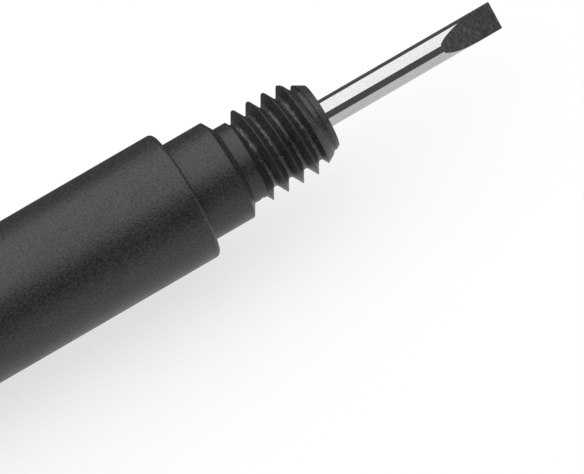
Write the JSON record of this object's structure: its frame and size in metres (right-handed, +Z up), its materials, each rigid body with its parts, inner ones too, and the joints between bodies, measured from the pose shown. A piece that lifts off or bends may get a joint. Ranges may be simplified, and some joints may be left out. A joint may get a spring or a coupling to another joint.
{
  "type": "watchmaker screwdriver",
  "caption": "Slim watchmaker's screwdriver: round barrel, threaded nose with a pilot neck, flat-ground round blade, hexagonal anti-roll collar and a ball-bearing swivel head.",
  "frame": {"origin": "on the bench, under the middle of the tool's length", "axes": "+X along the tool towards the blade's tip, +Z up; the tool rests on a flat of its collar and on its head"},
  "size_m": [0.0892, 0.009, 0.008],
  "materials": {
    "blade_steel": "polished rod, cross-ground flats",
    "black_nose": "black anodised, semi-matt",
    "black_barrel": "bead-blasted, black anodised",
    "plain_steel": "turned",
    "bearing_steel": "ground",
    "cage_brass": "turned",
    "red_ring": "red anodised, satin",
    "seal_rubber": "matt",
    "white_plastic": "turned acetal"
  },
  "bodies": {
    "handle": {"barrel": "black_barrel", "nose": "black_nose", "blade_stop": "plain_steel", "anti_roll_collar": "black_barrel"},
    "working_blade": {"blade": "blade_steel"},
    "grub_screw": {"blade_screw": "plain_steel"},
    "tail_seal": {"tail_o_ring": "seal_rubber"},
    "tail": {"tail_plug": "black_barrel", "size_ring": "red_ring", "blade_holder": "white_plastic", "spare_blades": "blade_steel", "spindle": "plain_steel", "bearing_inner_race": "bearing_steel", "retaining_washer": "plain_steel", "retaining_screw": "plain_steel"},
    "cage": {"ball_cage": "cage_brass", "bearing_balls": "bearing_steel"},
    "head": {"head_shell": "black_barrel", "head_cap": "red_ring", "bearing_outer_race": "bearing_steel", "bearing_shields": "bearing_steel"}
  },
  "joints": [
    {"name": "blade_slide", "type": "slide", "parent": "handle", "child": "working_blade", "axis": [1, 0, 0], "range_m": [0, 0.01]},
    {"name": "blade_screw_turn", "type": "hinge", "parent": "handle", "child": "grub_screw", "pos_m": [0.02775, 0, 0.004], "axis": [0, 1, 0], "range_deg": [0, 360]},
    {"name": "tail_slide", "type": "slide", "parent": "handle", "child": "tail_seal", "axis": [-1, 0, 0], "range_m": [0, 0.0045]},
    {"name": "tail_turn", "type": "hinge", "parent": "tail_seal", "child": "tail", "pos_m": [-0.02975, 0, 0.004], "axis": [-1, 0, 0], "range_deg": [0, 3240]},
    {"name": "head_swivel", "type": "hinge", "parent": "tail", "child": "head", "pos_m": [-0.0378, 0, 0.004], "axis": [-1, 0, 0], "continuous": true},
    {"name": "cage_turn", "type": "hinge", "parent": "tail", "child": "cage", "pos_m": [-0.0378, 0, 0.004], "axis": [-1, 0, 0], "continuous": true}
  ],
  "couplings": [
    {"joint": "tail_turn", "follows": "tail_slide", "rad_per_m": 12566},
    {"joint": "cage_turn", "follows": "head_swivel", "ratio": 0.6143}
  ]
}
